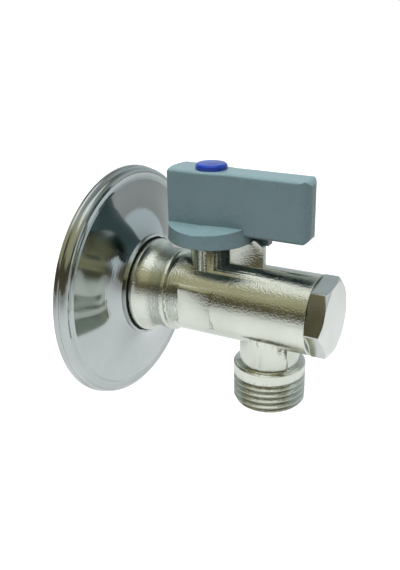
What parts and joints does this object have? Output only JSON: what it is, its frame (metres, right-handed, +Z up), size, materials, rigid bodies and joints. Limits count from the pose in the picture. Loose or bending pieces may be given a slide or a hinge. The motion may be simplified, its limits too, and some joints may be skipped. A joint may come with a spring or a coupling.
{
  "type": "stop tap",
  "caption": "Quarter-turn stop tap: angled outlet, flat lever handle, filter chamber closed by a hexagonal plug, round wall rosette",
  "frame": {"origin": "where the axis of the inlet thread meets the wall plane, which is the rear plane of the rosette", "axes": "+X out of the wall along the tube to the hexagonal plug, +Z up along the stem to the handle, the outlet points to -Z"},
  "size_m": [0.0757, 0.0708, 0.0751],
  "materials": {
    "nickel_brass": "nickel plated forging, satin bright",
    "chrome_sheet": "polished chrome on pressed sheet",
    "black_rubber": "matt black",
    "seat_plastic": "white, waxy",
    "chromed_ball": "brass, turned and chromed",
    "bare_brass": "turned",
    "handle_plastic": "moulded, fine satin",
    "steel": "bright",
    "button_plastic": "glossy blue",
    "cage_plastic": "moulded, off-white"
  },
  "bodies": {
    "tap": {"body": "nickel_brass", "inlet_seat": "seat_plastic", "outlet_seat": "seat_plastic", "seat_retainer": "bare_brass", "retainer_o_ring": "black_rubber", "stem_thrust_washer": "seat_plastic", "rosette_grip_ring": "black_rubber"},
    "lever": {"handle": "handle_plastic", "indicator_button": "button_plastic", "handle_screw": "steel", "spring_washer": "steel", "stem": "bare_brass", "stem_o_ring_lower": "black_rubber", "stem_o_ring_upper": "black_rubber", "ball": "chromed_ball"},
    "cartridge": {"filter_cage": "cage_plastic", "filter_screen": "steel"},
    "plug": {"filter_plug": "nickel_brass", "plug_o_ring": "black_rubber"},
    "wall_plate": {"rosette": "chrome_sheet"}
  },
  "joints": [
    {"name": "handle_turn", "type": "hinge", "parent": "tap", "child": "lever", "pos_m": [0.0302, 0, 0], "axis": [0, 0, 1], "range_deg": [0, 90]},
    {"name": "plug_travel", "type": "slide", "parent": "tap", "child": "cartridge", "axis": [1, 0, 0], "range_m": [0, 0.008]},
    {"name": "plug_turn", "type": "hinge", "parent": "cartridge", "child": "plug", "pos_m": [0.06, 0, 0], "axis": [1, 0, 0], "range_deg": [0, 2881]},
    {"name": "rosette_slide", "type": "slide", "parent": "tap", "child": "wall_plate", "axis": [1, 0, 0], "range_m": [0, 0.006]}
  ],
  "couplings": [
    {"joint": "plug_turn", "follows": "plug_travel", "rad_per_m": 6283.2}
  ]
}
